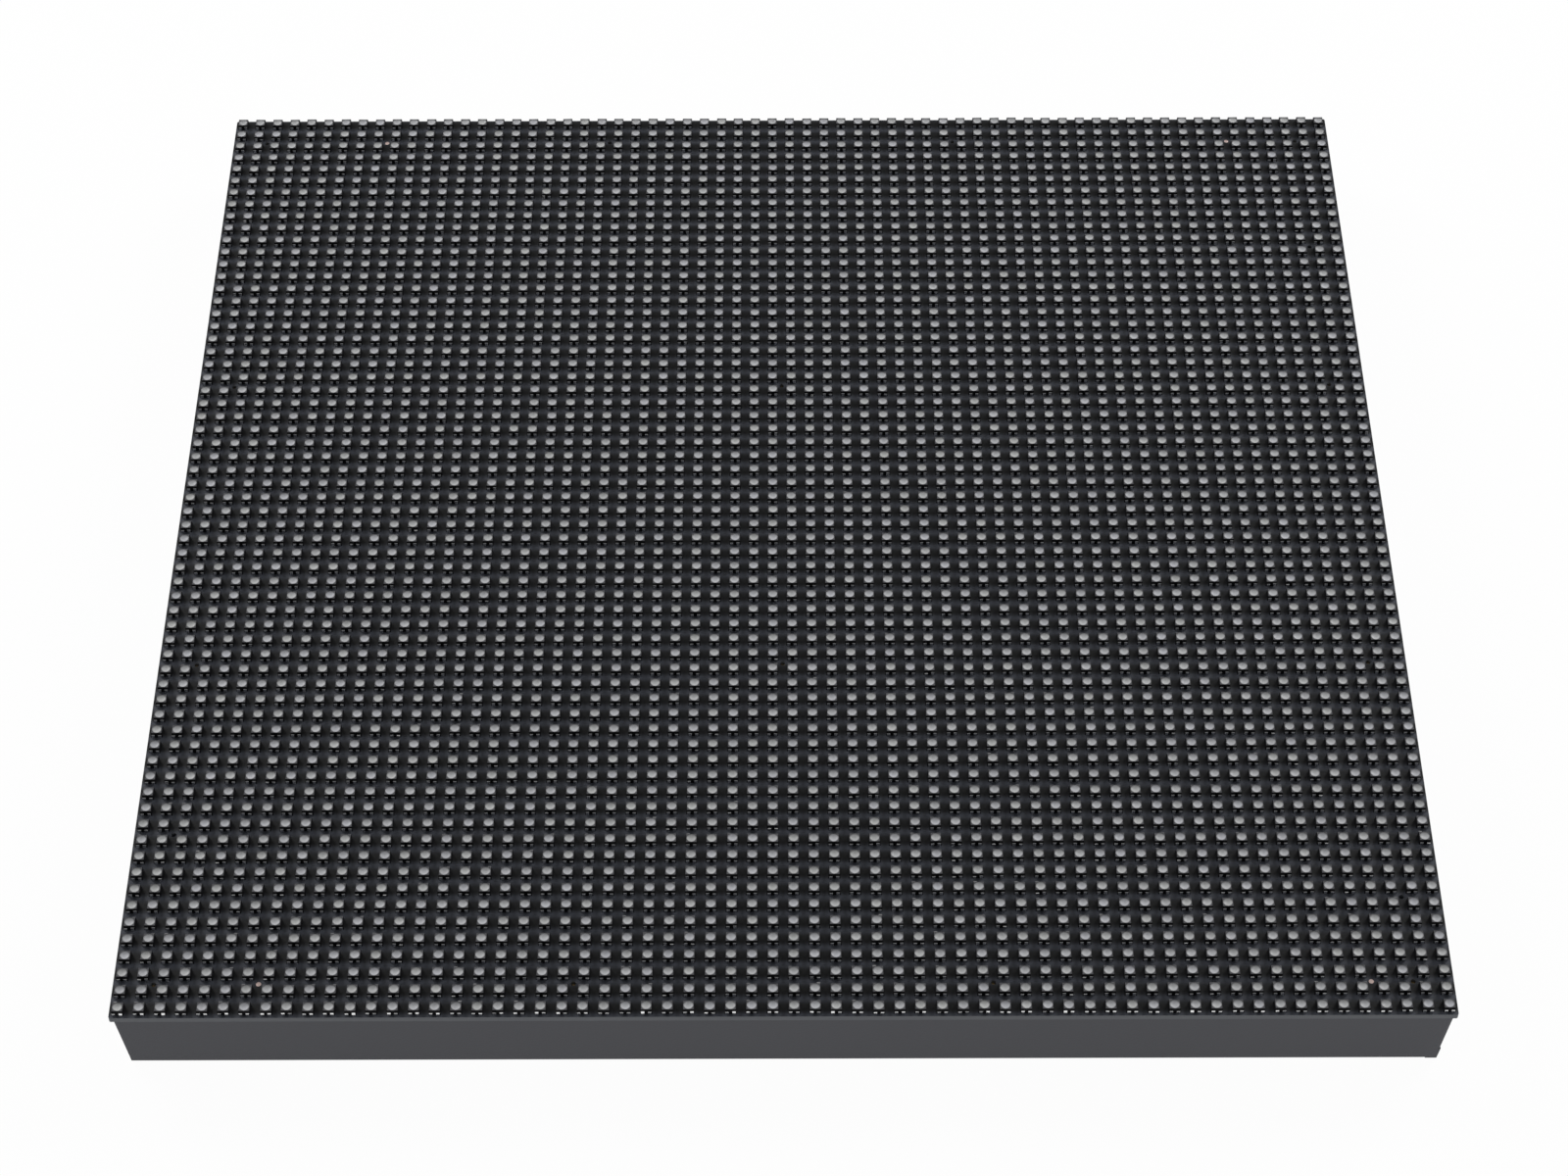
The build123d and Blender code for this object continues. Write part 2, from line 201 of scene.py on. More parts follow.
# %% [markdown]
# ## A small workbench
# Blender merges and snaps at a tenth of a millimetre, which is coarse for an LED. So small pieces
# are drawn with one unit to the millimetre and made a thousand times smaller when they are done.
# The first helpers start a piece and pick its faces or edges by place, because a script can't
# click on them.

# %% Start and pick
FACING = 0.9  # a face whose normal reaches this far along an axis faces that way
SLACK = 0.01  # how exactly a point's place is asked for


def clear():
    """Leaves object mode with nothing selected."""
    if bpy.context.object and bpy.context.object.mode != "OBJECT":
        bpy.ops.object.mode_set(mode="OBJECT")
    bpy.ops.object.select_all(action="DESELECT")


def choose(piece):
    """Selects one piece alone, in object mode."""
    clear()
    piece.select_set(True)
    bpy.context.view_layer.objects.active = piece


def box_at(name, size, centre):
    """A block of the given size, as a start for a piece. Sizes and places are in millimetres."""
    clear()
    bpy.ops.mesh.primitive_cube_add(size=1, location=centre)
    piece = bpy.context.active_object
    piece.name = piece.data.name = name
    piece.scale = size
    bpy.ops.object.transform_apply(location=True, rotation=True, scale=True)
    return piece


def pick(piece, kind, test):
    """Goes into edit mode with just the faces, edges or vertices that pass the test."""
    choose(piece)
    modes = {"VERT": (True, False, False), "EDGE": (False, True, False), "FACE": (False, False, True)}
    bpy.context.tool_settings.mesh_select_mode = modes[kind]
    mesh = piece.data
    for group in (mesh.vertices, mesh.edges, mesh.polygons):
        group.foreach_set("select", [False] * len(group))
    if kind == "VERT":
        for vertex in mesh.vertices:
            vertex.select = test(vertex.co)
    if kind == "EDGE":
        for edge in mesh.edges:
            a, b = (mesh.vertices[i].co for i in edge.vertices)
            edge.select = test(a, b)
    if kind == "FACE":
        for face in mesh.polygons:
            face.select = test(face.center, face.normal)
    bpy.ops.object.mode_set(mode="EDIT")


print("helpers to start and pick are ready")

# %% [markdown]
# ## Copies
# What repeats is modelled once. An array modifier sets copies in a row, and a mirrored copy does
# for a part that is the same on both sides. A mirror turns faces inside out, so they are flipped.

# %% Copy and join
def in_row(piece, count, step):
    """Repeats a piece along a straight step, each copy with its own mesh."""
    choose(piece)
    row = piece.modifiers.new("row", "ARRAY")
    row.count = count
    row.use_relative_offset = False
    row.use_constant_offset = True
    row.constant_offset_displace = step
    bpy.ops.object.modifier_apply(modifier=row.name)


def put_together(name, pieces):
    """Joins several objects into one piece."""
    clear()
    for piece in pieces:
        piece.select_set(True)
    bpy.context.view_layer.objects.active = pieces[0]
    if len(pieces) > 1:
        bpy.ops.object.join()
    pieces[0].name = pieces[0].data.name = name
    return pieces[0]


def another(piece, shift=(0, 0, 0), mirror=(1, 1, 1)):
    """A copy of a piece with its own mesh, mirrored about the origin and then shifted."""
    copy = bpy.data.objects.new(piece.name + "_copy", piece.data.copy())
    bpy.context.scene.collection.objects.link(copy)
    copy.data.transform(Matrix.Translation(shift) @ Matrix.Diagonal((*mirror, 1)))
    if mirror[0] * mirror[1] * mirror[2] < 0:
        copy.data.flip_normals()
    return copy


print("helpers to copy and join are ready")

# %% [markdown]
# ## Finishing a piece
# A finished piece has no doubled points and all its faces turned outwards. Its place goes into its
# mesh, which is then made its real size, and it rides on the one body of the module.

# %% Finish a piece
SAME_POINT = 0.001  # points closer than this are one


def face_outwards(piece):
    """Merges doubled points and turns all faces outwards."""
    pick(piece, "VERT", lambda at: True)
    bpy.ops.mesh.select_all(action="SELECT")
    bpy.ops.mesh.remove_doubles(threshold=SAME_POINT)
    bpy.ops.mesh.normals_make_consistent(inside=False)
    bpy.ops.object.mode_set(mode="OBJECT")


def smooth(piece, angle):
    """Smooth shading over edges flatter than the angle, in degrees."""
    choose(piece)
    bpy.ops.object.shade_smooth_by_angle(angle=radians(angle))


def to_metres(piece):
    """Makes a finished piece its real size, on the body that carries it."""
    piece.data.transform(Matrix.Diagonal((MM, MM, MM, 1)))
    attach(piece, "root")
    return piece


def triangles(piece):
    """How many triangles a piece has."""
    return sum(len(face.vertices) - 2 for face in piece.data.polygons)


print("helpers to finish a piece are ready")

# %% [markdown]
# ## One LED housing
# The housing is moulded in black epoxy: a square block that narrows a little towards its top, with
# a round cup for the light. It could be cut with a boolean, but a bridge between the square rim
# and a ring of sixteen points gives clean faces, and few of them. That matters 4096 times over.

# %% Housing
CUP_RADIUS = 0.95
CUP_DEPTH = 0.95
CUP_SIDES = 16
TOP_SIDE = 2.1
TOP_EDGE = 0.05  # the small bevel round the top
SEAT = 0.05  # the housing stands this far above the board, on its leads


def led_housing():
    """The moulded body with its cup. Its middle is at the origin, over the board's face."""
    body_height = led_height - SEAT
    housing = box_at("led_housing", (LED_BASE, LED_BASE, body_height), (0, 0, SEAT + body_height / 2))
    pick(housing, "FACE", lambda at, normal: normal.z > FACING)
    bpy.ops.transform.resize(value=(TOP_SIDE / LED_BASE, TOP_SIDE / LED_BASE, 1))
    pick(housing, "EDGE", lambda a, b: min(a.z, b.z) > led_height - SLACK)
    bpy.ops.mesh.bevel(offset=TOP_EDGE, segments=1, affect="EDGES")
    pick(housing, "FACE", lambda at, normal: normal.z > FACING)
    bpy.ops.mesh.delete(type="FACE")
    clear()
    bpy.ops.mesh.primitive_circle_add(vertices=CUP_SIDES, radius=CUP_RADIUS, location=(0, 0, led_height))
    rim = bpy.context.active_object
    bpy.ops.object.transform_apply(location=True)
    housing = put_together("led_housing", [housing, rim])
    pick(housing, "EDGE", lambda a, b: min(a.z, b.z) > led_height - SLACK)
    bpy.ops.mesh.bridge_edge_loops()
    pick(housing, "EDGE", lambda a, b: max(a.xy.length, b.xy.length) < CUP_RADIUS + SLACK)
    bpy.ops.mesh.extrude_edges_move(TRANSFORM_OT_translate={"value": (0, 0, -CUP_DEPTH)})
    bpy.ops.mesh.merge(type="CENTER")
    face_outwards(housing)
    return housing


housing = led_housing()
print("one housing has", triangles(housing), "triangles")

# %% [markdown]
# ## One LED window
# The cup is filled with milky resin, which shrinks as it sets and leaves a shallow bowl. A flat disc
# would look the same from straight above, but from the side the bowl's far slope turns darker than
# its near slope, and the photograph shows that on every LED. The bowl is one ring turned down from
# the rim and closed at its middle, over a cone that fills the cup.

# %% Window
BOWL_RADIUS = 0.94
BOWL_FLOOR_RADIUS = 0.58
BOWL_DEPTH = 0.24
BOWL_DISH = 0.05  # how much deeper the middle is than the rim of the bowl's floor
WINDOW_DROP = 0.01  # from the housing's top down to the resin's rim
WINDOW_DEPTH = 0.92


def led_window():
    """The resin in the cup, placed as the housing is."""
    clear()
    rim_level = led_height - WINDOW_DROP
    bpy.ops.mesh.primitive_circle_add(vertices=CUP_SIDES, radius=BOWL_RADIUS, location=(0, 0, rim_level))
    window = bpy.context.active_object
    window.name = window.data.name = "led_window"
    bpy.ops.object.transform_apply(location=True)
    pick(window, "EDGE", lambda a, b: True)
    bpy.ops.mesh.extrude_edges_move(TRANSFORM_OT_translate={"value": (0, 0, -BOWL_DEPTH)})
    shrink = BOWL_FLOOR_RADIUS / BOWL_RADIUS
    bpy.ops.transform.resize(value=(shrink, shrink, 1))
    bpy.ops.mesh.extrude_edges_move(TRANSFORM_OT_translate={"value": (0, 0, -BOWL_DISH)})
    bpy.ops.mesh.merge(type="CENTER")
    pick(window, "EDGE", lambda a, b: min(a.z, b.z) > rim_level - SLACK)
    bpy.ops.mesh.extrude_edges_move(TRANSFORM_OT_translate={"value": (0, 0, -WINDOW_DEPTH)})
    bpy.ops.mesh.merge(type="CENTER")
    face_outwards(window)
    return window


window = led_window()
print("one window has", triangles(window), "triangles")

# %% [markdown]
# ## Four leads
# Two tinned leads leave each of two opposite sides halfway up, turn down along the side and end on
# the board's pads. Each is a narrow block whose outer top edge is bevelled for the bend. In the
# front row the leads mirror the white floor, and in all others the black board before them.

# %% Leads
LEAD_WIDTH = 0.64
LEAD_TOP = 0.86
LEAD_ROOT = 0.14  # from the side of the housing's base inwards
LEAD_REACH = 0.17  # from the side of the housing's base outwards
LEAD_PLACE = 0.665  # from the middle of the LED, along the row
LEAD_BEND = 0.05


def led_leads():
    """All four leads of one LED, placed as the housing is."""
    inner = LED_BASE / 2 - LEAD_ROOT
    outer = LED_BASE / 2 + LEAD_REACH
    centre = (LEAD_PLACE, -(inner + outer) / 2, LEAD_TOP / 2)
    lead = box_at("led_lead", (LEAD_WIDTH, outer - inner, LEAD_TOP), centre)
    pick(lead, "EDGE", lambda a, b: max(a.y, b.y) < SLACK - outer and min(a.z, b.z) > LEAD_TOP - SLACK)
    bpy.ops.mesh.bevel(offset=LEAD_BEND, segments=1, affect="EDGES")
    face_outwards(lead)
    others = [another(lead, mirror=(x, y, 1)) for x, y in ((-1, 1), (1, -1), (-1, -1))]
    return put_together("led_leads", [lead, *others])


leads = led_leads()
print("four leads have", triangles(leads), "triangles")

# %% [markdown]
# ## 4096 LEDs
# The three models are repeated over the board in four bands of sixteen rows, which keeps each piece
# to a handy size. Real copies are used, and not instances, so that each LED can differ from the next.

# %% Spreading
BANDS = 4
BAND_ROWS = LEDS // BANDS


def spread(model, name):
    """One piece for each band of rows, with a copy of the model at every LED."""
    bands = []
    for band in range(BANDS):
        lift = (first_led, first_led + band * BAND_ROWS * pitch, face_level)
        piece = another(model, shift=lift)
        in_row(piece, LEDS, (pitch, 0, 0))
        in_row(piece, BAND_ROWS, (0, pitch, 0))
        piece.name = piece.data.name = f"{name}_{band + 1}"
        bands.append(piece)
    return bands


housings = spread(housing, "led_housings")
windows = spread(window, "led_windows")
lead_sets = spread(leads, "led_leads")
for model in (housing, window, leads):
    bpy.data.objects.remove(model)
led_pieces = (*housings, *windows, *lead_sets)
print("LEDs", LEDS * LEDS, "in", sum(triangles(piece) for piece in led_pieces), "triangles")

# %% [markdown]
# ## No two LEDs alike
# A placing machine is never perfect, so every LED is shifted, turned and tilted by a hair. Its
# housing, window and leads get the same move, because each band draws its moves from its own fixed
# seed. Numbers kept on the mesh then give every LED its own shade and tint, and a map of its face
# tells the finish where the middle of each window is.

# %% Loosening
SEED = 40
SHIFT = 0.035  # typical error of place
SHIFT_LIMIT = 2  # no LED is off by more than this many typical errors
TURN = 0.012  # typical turn, in radians
TILT = 0.006  # typical tilt, in radians
SINK = 0.015  # typical error of height
SINK_FROM = 0.2  # what lies lower than this stays on the board
LEAN = 0.09  # how far single leads stand from upright
LEADS_EACH = 4
MAP_MIDDLE = 0.5  # the middle of an LED in the map of its face


def loosen(piece, band, lean=0.0):
    """Moves each LED of a band a little, and gives its points and faces the LED's own numbers."""
    mesh = piece.data
    count = LEDS * BAND_ROWS
    draw = np.random.default_rng(SEED + band)
    turn, tilt_x, tilt_y, sink, shift_x, shift_y = draw.normal(size=(count, 6)).T[:, :, None]
    shades = draw.random(size=(count, 3))
    points = np.empty(len(mesh.vertices) * 3)
    mesh.vertices.foreach_get("co", points)
    points = points.reshape(count, -1, 3)
    column, row = np.meshgrid(np.arange(LEDS), np.arange(BAND_ROWS))
    centres = np.empty((count, 1, 3))
    centres[:, 0, 0] = first_led + column.ravel() * pitch
    centres[:, 0, 1] = first_led + (row.ravel() + band * BAND_ROWS) * pitch
    centres[:, 0, 2] = face_level
    local = points - centres
    x = local[..., 0] - TURN * turn * local[..., 1]
    y = local[..., 1] + TURN * turn * local[..., 0]
    z = local[..., 2] - SINK * np.abs(sink) * (local[..., 2] > SINK_FROM)
    z = np.minimum(z + TILT * tilt_x * y + TILT * tilt_y * x, led_height)
    if lean:
        points_each = z.shape[1] // LEADS_EACH
        leans = np.repeat(draw.normal(size=(count, LEADS_EACH)) * lean, points_each, axis=1)
        y = y + leans * local[..., 2]
    x = x + SHIFT * np.clip(shift_x, -SHIFT_LIMIT, SHIFT_LIMIT)
    y = y + SHIFT * np.clip(shift_y, -SHIFT_LIMIT, SHIFT_LIMIT)
    moved = np.stack([x, y, z], -1) + centres
    mesh.vertices.foreach_set("co", moved.ravel())
    shade = mesh.attributes.new("led_shade", "FLOAT_VECTOR", "POINT")
    point_shades = np.repeat(shades, points.shape[1], axis=0)
    shade.data.foreach_set("vector", point_shades.astype(np.float32).ravel())
    corners = np.empty(len(mesh.loops), dtype=np.int32)
    mesh.loops.foreach_get("vertex_index", corners)
    face_map = local.reshape(-1, 3)[corners, :2] / LED_BASE + MAP_MIDDLE
    mesh.uv_layers.new(name="led_face").data.foreach_set("uv", face_map.ravel())
    mesh.update()


for band in range(BANDS):
    loosen(housings[band], band)
    loosen(windows[band], band)
    loosen(lead_sets[band], band, LEAN)
print("bands loosened", BANDS)

# %% [markdown]
# ## LEDs at their real size
# Light runs smoothly over the bowl of a window, but the rim stays crisp, and so do the bevels of
# housings and leads. Shading by the angle between faces does both without a crease set by hand.

# %% Shade and place the LEDs
BOWL_SMOOTHING = 62  # degrees
BODY_SMOOTHING = 30

for piece in led_pieces:
    smooth(piece, BOWL_SMOOTHING if piece in windows else BODY_SMOOTHING)
    to_metres(piece)
    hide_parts("led_rows")
print("LED pieces", len(led_pieces))

# %% [markdown]
# ## Registration dots
# Four round copper dots on the board's face stay free of solder mask. A placing machine looks
# for them. They sit between LEDs, and show as small bright points in the photograph.

# %% Dots
DOT_COUNTS = ((-25, -30), (28, -30), (26, 30), (-23, 30))  # in pitches from the board's middle
DOT_RADIUS = 0.5
DOT_SIDES = 24
DOT_RISE = 0.06
DOT_SLOPE = 0.16  # width of the slope round the top
DOT_SMOOTHING = 60


def registration_dots():
    """All four dots as one piece."""
    dots = []
    for across, along in DOT_COUNTS:
        clear()
        at = (across * pitch, along * pitch, face_level)
        bpy.ops.mesh.primitive_circle_add(
            vertices=DOT_SIDES, radius=DOT_RADIUS, fill_type="NGON", location=at)
        dot = bpy.context.active_object
        bpy.ops.object.transform_apply(location=True)
        pick(dot, "FACE", lambda at, normal: True)
        bpy.ops.mesh.extrude_region_move(TRANSFORM_OT_translate={"value": (0, 0, DOT_RISE / 2)})
        bpy.ops.mesh.inset(thickness=DOT_SLOPE)
        bpy.ops.transform.translate(value=(0, 0, DOT_RISE / 2))
        bpy.ops.object.mode_set(mode="OBJECT")
        dots.append(dot)
    piece = put_together("registration_dots", dots)
    face_outwards(piece)
    smooth(piece, DOT_SMOOTHING)
    return to_metres(piece)


dots = registration_dots()
print("registration dots", len(DOT_COUNTS))

# %% [markdown]
# ## Places under the board
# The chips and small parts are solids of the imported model, so what is added to them has to find
# them. Their places could be typed in again, but a copy of a node, split into its loose solids,
# gives the middle of each one and stays right if the model changes.

# %% Find and hang
def middles(node_name):
    """Centre of each separate solid of a node, seen along Z, in millimetres."""
    mesh = nodes[node_name].data.copy()
    loose = bpy.data.objects.new("loose", mesh)
    bpy.context.scene.collection.objects.link(loose)
    pick(loose, "VERT", lambda at: True)
    bpy.ops.mesh.remove_doubles(threshold=SAME_POINT * MM)
    bpy.ops.mesh.separate(type="LOOSE")
    bpy.ops.object.mode_set(mode="OBJECT")
    found = []
    for part in list(bpy.context.selected_objects):
        spots = [vertex.co for vertex in part.data.vertices]
        low = [min(spot[i] for spot in spots) / MM for i in (0, 1)]
        high = [max(spot[i] for spot in spots) / MM for i in (0, 1)]
        found.append(((low[0] + high[0]) / 2, (low[1] + high[1]) / 2))
        bpy.data.objects.remove(part)
    return sorted(found)


def hung(name, model, places):
    """Copies of a model, turned over and hung under the board at the given places."""
    copies = [another(model, shift=(x, y, under_level), mirror=(1, 1, -1)) for x, y in places]
    bpy.data.objects.remove(model)
    return to_metres(put_together(name, copies))


driver_places = middles("driver_chips")
row_driver_places = middles("row_driver_chips")
buffer_places = middles("buffer_chips")
print("chips", len(driver_places), len(row_driver_places), len(buffer_places))

# %% [markdown]
# ## Leads of the chips
# The chips hang under the board. Each has a row of gull-wing leads on both long sides: a flat strip
# that leaves the body at half its height, drops to the board and ends in a short foot. One lead is
# a block whose outer face is extruded twice. It is modelled as if the board were below it, and the
# finished set is turned over to hang from the board's underside.

# %% Chip leads
DRIVER_CHIP = {"body_width": 3.9, "body_height": 1.6, "count": 12, "step": 0.635, "width": 0.25, "span": 6.0}
ROW_DRIVER_CHIP = {**DRIVER_CHIP, "count": 8, "step": 1.27, "width": 0.41}
BUFFER_CHIP = {"body_width": 4.4, "body_height": 1.1, "count": 10, "step": 0.65, "width": 0.22, "span": 6.4}
LEAD_THICKNESS = 0.15
SHOULDER_ROOT = 0.1  # how far a lead starts inside its chip
SHOULDER = 0.25  # flat run outside the chip
FOOT_LENGTH = 0.55
FOOT_GAP = 0.01  # between a foot and the board


def leads_of_chip(name, body_width, body_height, count, step, width, span):
    """Leads on both sides of a chip that lies along X, standing on the plane z = 0."""
    bend = body_width / 2 + SHOULDER
    start = (0, body_width / 2 + (SHOULDER - SHOULDER_ROOT) / 2, body_height / 2)
    lead = box_at(name, (width, SHOULDER_ROOT + SHOULDER, LEAD_THICKNESS), start)
    pick(lead, "FACE", lambda at, normal: normal.y > FACING)
    drop = (0, span / 2 - FOOT_LENGTH - bend, FOOT_GAP + LEAD_THICKNESS / 2 - body_height / 2)
    bpy.ops.mesh.extrude_region_move(TRANSFORM_OT_translate={"value": drop})
    bpy.ops.mesh.extrude_region_move(TRANSFORM_OT_translate={"value": (0, FOOT_LENGTH, 0)})
    bpy.ops.object.mode_set(mode="OBJECT")
    lead.data.transform(Matrix.Translation((-step * (count - 1) / 2, 0, 0)))
    in_row(lead, count, (step, 0, 0))
    piece = put_together(name, [lead, another(lead, mirror=(1, -1, 1))])
    face_outwards(piece)
    return piece


def turned(piece):
    """Turns a piece a quarter round the upright axis."""
    pick(piece, "VERT", lambda at: True)
    bpy.ops.transform.rotate(value=pi / 2, orient_axis="Z", center_override=(0, 0, 0))
    bpy.ops.object.mode_set(mode="OBJECT")
    return piece


driver_model = turned(leads_of_chip("driver_leads", **DRIVER_CHIP))
driver_leads = hung("driver_leads", driver_model, driver_places)
row_driver_model = leads_of_chip("row_driver_leads", **ROW_DRIVER_CHIP)
row_driver_leads = hung("row_driver_leads", row_driver_model, row_driver_places)
buffer_leads = hung("buffer_leads", leads_of_chip("buffer_leads", **BUFFER_CHIP), buffer_places)
chip_leads = (driver_leads, row_driver_leads, buffer_leads)
print("chip leads", sum(triangles(piece) for piece in chip_leads), "triangles")

# %% [markdown]
# ## Ends of the small parts
# Ceramic capacitors and chip resistors end in tinned caps, with a ramp of solder from each cap to
# its pad. One end is a block a hair larger than the part, whose outer face is extruded and then
# shrunk towards the board. A resistor array has four such ends on each long side, only smaller.

# %% Part ends
CAPACITOR = {"length": 1.6, "width": 0.8, "height": 0.7, "cap": 0.4, "solder": 0.35}
RESISTOR = {"length": 1.6, "width": 0.8, "height": 0.7, "cap": 0.3, "solder": 0.35}
ARRAY_END = {"length": 1.6, "width": 0.44, "height": 0.6, "cap": 0.3, "solder": 0.25}
ARRAY_STEP = 0.8
ARRAY_COUNT = 4
PROUD = 0.02  # how much larger a cap is than the part
CAP_EDGE = 0.05
SOLDER_SPREAD = 1.1  # width of the solder's toe, in widths of the cap
SOLDER_TOE = 0.12  # height of the solder's toe, in heights of the cap


def part_ends(name, length, width, height, cap, solder):
    """Both ends of a small part that lies along X, standing on the plane z = 0."""
    start = (length / 2 + PROUD - cap / 2, 0, (height + PROUD) / 2)
    end = box_at(name, (cap, width + 2 * PROUD, height + PROUD), start)
    pick(end, "EDGE", lambda a, b: min(a.z, b.z) > height)
    bpy.ops.mesh.bevel(offset=CAP_EDGE, segments=2, affect="EDGES")
    pick(end, "FACE", lambda at, normal: normal.x > FACING and at.z < height)
    bpy.ops.mesh.extrude_region_move(TRANSFORM_OT_translate={"value": (solder, 0, 0)})
    bpy.ops.transform.resize(value=(1, SOLDER_SPREAD, SOLDER_TOE), center_override=(0, 0, 0))
    bpy.ops.object.mode_set(mode="OBJECT")
    piece = put_together(name, [end, another(end, mirror=(-1, 1, 1))])
    face_outwards(piece)
    return piece


capacitor_places = middles("chip_capacitors")
resistor_places = middles("chip_resistors")
array_places = middles("resistor_arrays")
array_offsets = [ARRAY_STEP * (n - (ARRAY_COUNT - 1) / 2) for n in range(ARRAY_COUNT)]
array_end_places = [(x, y + offset) for x, y in array_places for offset in array_offsets]
capacitor_ends = hung("capacitor_ends", part_ends("capacitor_ends", **CAPACITOR), capacitor_places)
resistor_ends = hung("resistor_ends", part_ends("resistor_ends", **RESISTOR), resistor_places)
array_ends = hung("array_ends", part_ends("array_ends", **ARRAY_END), array_end_places)
print("small parts", len(capacitor_places), len(resistor_places), len(array_places))

# %% [markdown]
# ## Solder pads
# Every pin of a header stands on a bright pad that reaches a little past its foot, and each can
# has a soldered tab on two sides. They could be painted on the board, but a plate a few hundredths
# of a millimetre thick keeps a clean edge in any view.

# %% Pads and tabs
PAD_RISE = 0.04
HEADER_PAD = (2.8, 1.0)
PIN_STEP = 2.54
PIN_COLUMNS = 8
PIN_HALF = 0.32  # half the width of a pin
PIN_TOE = 1.1  # from the tip of a pin to the middle of its pad
POWER_PAD = (1.9, 3.9)
POWER_STEP = 3.96
POWER_PINS = 4
POWER_PIN_HALF = 0.57
POWER_PIN_TOE = 1.5
CAN_TAB = (2.2, 0.7, 0.2)
CAN_TAB_PLACE = 4.0  # from the axis of a can


def flat_pad(name, across, along):
    """A bright plate, standing on the plane z = 0."""
    return box_at(name, (across, along, PAD_RISE), (0, 0, PAD_RISE / 2))


header_pads = []
for side in ("input", "output"):
    low, high = (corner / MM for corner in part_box(side + "_header_pins"))
    columns = [low.y + PIN_HALF + PIN_STEP * n for n in range(PIN_COLUMNS)]
    spots = [(low.x + PIN_TOE, y) for y in columns] + [(high.x - PIN_TOE, y) for y in columns]
    name = side + "_header_pads"
    header_pads.append(hung(name, flat_pad(name, *HEADER_PAD), spots))
low, high = (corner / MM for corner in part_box("power_header_pins"))
power_columns = [low.x + POWER_PIN_HALF + POWER_STEP * n for n in range(POWER_PINS)]
power_spots = [(x, low.y + POWER_PIN_TOE) for x in power_columns]
power_pads = hung("power_pads", flat_pad("power_pads", *POWER_PAD), power_spots)
can_places = middles("capacitor_bases")
can_tab_spots = [(x + side * CAN_TAB_PLACE, y) for x, y in can_places for side in (-1, 1)]
can_tabs = hung("can_tabs", box_at("can_tabs", CAN_TAB, (0, 0, CAN_TAB[2] / 2)), can_tab_spots)
print("cans", len(can_places), "and power pads", len(power_spots))

# %% [markdown]
# ## Printed outlines
# A thin white frame is printed round each chip and each small part, and a dot marks the first pin
# of each chip. The print is a raised line too, made of a flat block with its middle inset and
# bridged through, so that it is as crisp as the pads.

# %% Print
PRINT_RISE = 0.02
PRINT_WIDTH = 0.16
DRIVER_FRAME = (7.4, 10.4)
ROW_DRIVER_FRAME = (11.4, 7.4)
BUFFER_FRAME = (8.0, 7.8)
SMALL_FRAME = (3.2, 1.6)
DRIVER_FIRST_PIN = (-4.3, 3.5)  # from the middle of the chip
ROW_DRIVER_FIRST_PIN = (-4.45, -4.3)
BUFFER_FIRST_PIN = (-2.9, -4.5)
PIN_DOT_RADIUS = 0.35
PIN_DOT_SIDES = 20


def printed_frame(name, across, along):
    """A thin rectangular line."""
    line = box_at(name, (across, along, PRINT_RISE), (0, 0, PRINT_RISE / 2))
    pick(line, "FACE", lambda at, normal: abs(normal.z) > FACING)
    bpy.ops.mesh.inset(thickness=PRINT_WIDTH)
    pick(line, "FACE", lambda at, normal: abs(normal.z) > FACING and at.xy.length < SLACK)
    bpy.ops.mesh.bridge_edge_loops()
    bpy.ops.object.mode_set(mode="OBJECT")
    return line


def printed_dot(name):
    """A thin round dot."""
    clear()
    centre = (0, 0, PRINT_RISE / 2)
    bpy.ops.mesh.primitive_cylinder_add(
        vertices=PIN_DOT_SIDES, radius=PIN_DOT_RADIUS, depth=PRINT_RISE, location=centre)
    dot = bpy.context.active_object
    dot.name = dot.data.name = name
    bpy.ops.object.transform_apply(location=True)
    return dot


driver_print = hung("driver_print", printed_frame("driver_print", *DRIVER_FRAME), driver_places)
row_driver_frame = printed_frame("row_driver_print", *ROW_DRIVER_FRAME)
row_driver_print = hung("row_driver_print", row_driver_frame, row_driver_places)
buffer_print = hung("buffer_print", printed_frame("buffer_print", *BUFFER_FRAME), buffer_places)
small_places = capacitor_places + resistor_places
small_print = hung("small_print", printed_frame("small_print", *SMALL_FRAME), small_places)
first_pins = [(x + DRIVER_FIRST_PIN[0], y + DRIVER_FIRST_PIN[1]) for x, y in driver_places]
first_pins += [(x + ROW_DRIVER_FIRST_PIN[0], y + ROW_DRIVER_FIRST_PIN[1]) for x, y in row_driver_places]
first_pins += [(x + BUFFER_FIRST_PIN[0], y + BUFFER_FIRST_PIN[1]) for x, y in buffer_places]
pin_dots = hung("pin_dots", printed_dot("pin_dots"), first_pins)
print("outlines", len(first_pins) + len(small_places))

# %% [markdown]
# ## Finishes
# Every material starts from one shader with its own colour, roughness and metal, and then gets
# the detail that the real surface has. These helpers add nodes and links in a line each.

# %% Material helpers
def finish(name, colour, roughness, metallic=0.0, specular=0.5):
    """A new material, with its plain values set on the shader."""
    material = bpy.data.materials.new(name)
    material.use_nodes = True
    shader = material.node_tree.nodes["Principled BSDF"]
    shader.inputs["Base Color"].default_value = (*colour, 1)
    shader.inputs["Roughness"].default_value = roughness
    shader.inputs["Metallic"].default_value = metallic
    shader.inputs["Specular IOR Level"].default_value = specular
    return material


def node(material, kind, **values):
    """A new node in the material, with the given settings or input values."""
    made = material.node_tree.nodes.new("ShaderNode" + kind)
    for name, value in values.items():
        if hasattr(made, name):
            setattr(made, name, value)
        else:
            made.inputs[name.replace("_", " ")].default_value = value
    return made


def link(material, start, end):
    """Joins an output to an input."""
    material.node_tree.links.new(start, end)


def shader_of(material):
    """The shader that carries a material's plain values."""
    return material.node_tree.nodes["Principled BSDF"]


print("node helpers ready")

